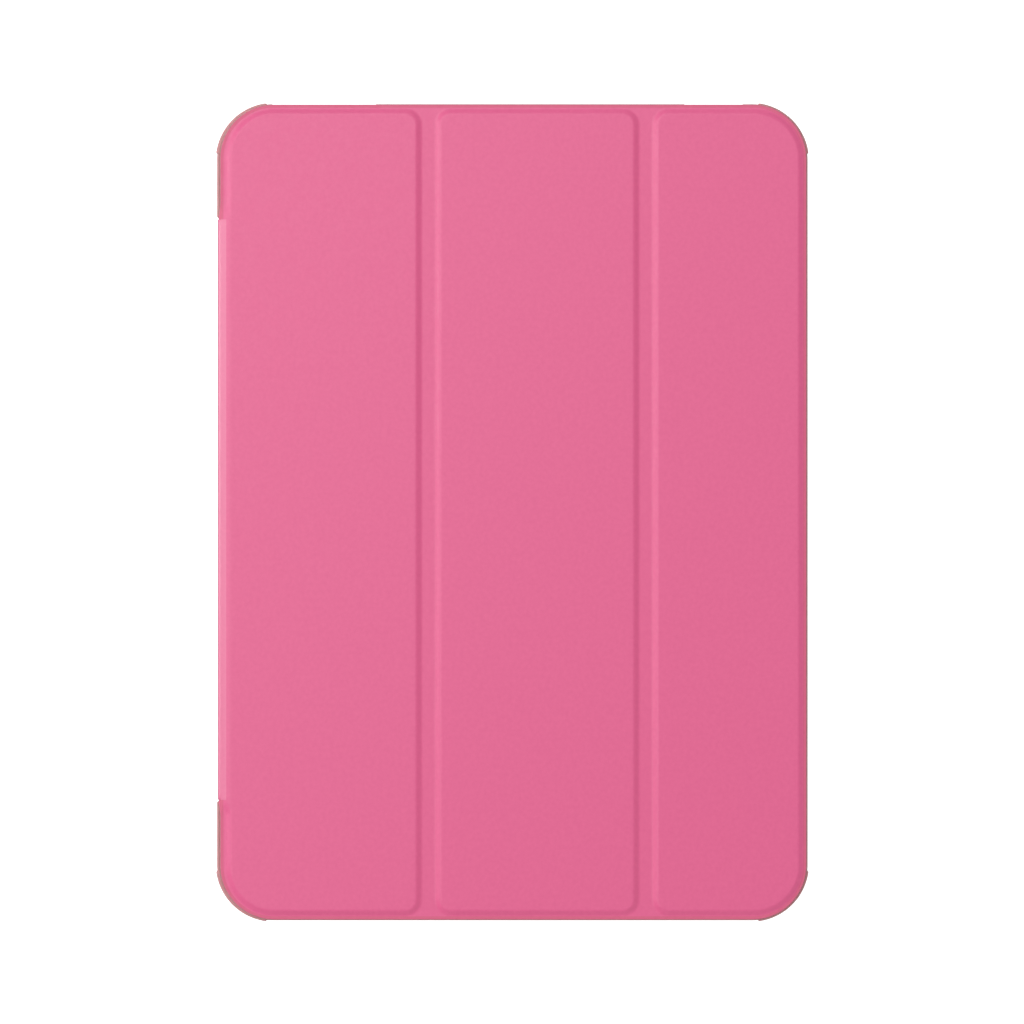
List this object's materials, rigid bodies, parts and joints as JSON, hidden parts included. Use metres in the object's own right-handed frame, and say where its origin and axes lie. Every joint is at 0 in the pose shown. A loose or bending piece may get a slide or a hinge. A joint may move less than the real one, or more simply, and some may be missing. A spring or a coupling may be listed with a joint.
{
  "type": "tablet case",
  "caption": "Tri-fold folio case with a soft bumper frame, a back plate and a hinged cover of stiff panels that rolls into a stand.",
  "frame": {"origin": "centre of the closed case's footprint, on the surface that its back rests on", "axes": "+X from the spine to the free edge, +Y to the top of the tablet, +Z out of the front cover"},
  "size_m": [0.1824, 0.252, 0.0115],
  "materials": {
    "leather": "pink synthetic leather, fine grain, satin",
    "lining": "brushed microfibre",
    "board": "matt stiffener sheet",
    "bumper": "translucent soft plastic, rose tint",
    "plate": "frosted translucent plastic",
    "magnet": "nickel plated",
    "adhesive": "transfer tape"
  },
  "bodies": {
    "shell": {"back_plate": "plate", "bumper_frame": "bumper", "hinge_tab_skin": "leather", "hinge_tab_adhesive": "adhesive"},
    "spine": {"back_fold_skin": "leather", "spine_skin": "leather", "spine_stiffener": "board", "spine_lining": "lining"},
    "front_fold": {"front_fold_skin": "leather", "front_fold_lining": "lining"},
    "panel_1": {"panel_1_skin": "leather", "panel_1_board": "board", "panel_1_lining": "lining", "keeper_plate": "magnet"},
    "groove_1": {"groove_1_skin": "leather", "groove_1_lining": "lining"},
    "panel_2": {"panel_2_skin": "leather", "panel_2_board": "board", "panel_2_lining": "lining"},
    "groove_2": {"groove_2_skin": "leather", "groove_2_lining": "lining"},
    "panel_3": {"panel_3_skin": "leather", "panel_3_board": "board", "panel_3_lining": "lining", "edge_magnet_1": "magnet", "edge_magnet_2": "magnet", "edge_magnet_3": "magnet", "edge_magnet_4": "magnet", "wake_magnet": "magnet"}
  },
  "joints": [
    {"name": "back_fold", "type": "hinge", "parent": "shell", "child": "spine", "pos_m": [-0.0898, 0.0008, 0.0009], "axis": [0, -1, 0], "range_deg": [0, 90], "deforming": ["back_fold_skin"]},
    {"name": "cover_open", "type": "hinge", "parent": "spine", "child": "front_fold", "pos_m": [-0.0897, 0.0008, 0.0097], "axis": [0, -1, 0], "range_deg": [0, 90], "deforming": ["front_fold_skin", "front_fold_lining"]},
    {"name": "roll_to_stand", "type": "hinge", "parent": "front_fold", "child": "panel_1", "pos_m": [-0.0886, 0.0008, 0.0117], "axis": [0, -1, 0], "range_deg": [0, 178]},
    {"name": "groove_1_fold_in", "type": "hinge", "parent": "panel_1", "child": "groove_1", "pos_m": [-0.0277, 0, 0.0096], "axis": [0, 1, 0], "range_deg": [0, 130], "deforming": ["groove_1_skin", "groove_1_lining"]},
    {"name": "panel_2_peel", "type": "hinge", "parent": "groove_1", "child": "panel_2", "pos_m": [-0.0245, 0, 0.0107], "axis": [0, 1, 0], "range_deg": [-130, 0]},
    {"name": "groove_2_fold_in", "type": "hinge", "parent": "panel_2", "child": "groove_2", "pos_m": [0.0392, 0, 0.0096], "axis": [0, 1, 0], "range_deg": [0, 118], "deforming": ["groove_2_skin", "groove_2_lining"]},
    {"name": "panel_3_peel", "type": "hinge", "parent": "groove_2", "child": "panel_3", "pos_m": [0.0424, 0, 0.0107], "axis": [0, 1, 0], "range_deg": [-105, 0]}
  ],
  "couplings": [
    {"joint": "back_fold", "follows": "cover_open", "ratio": 1},
    {"joint": "groove_1_fold_in", "follows": "roll_to_stand", "ratio": 0.73033},
    {"joint": "groove_2_fold_in", "follows": "roll_to_stand", "ratio": 0.66291}
  ]
}
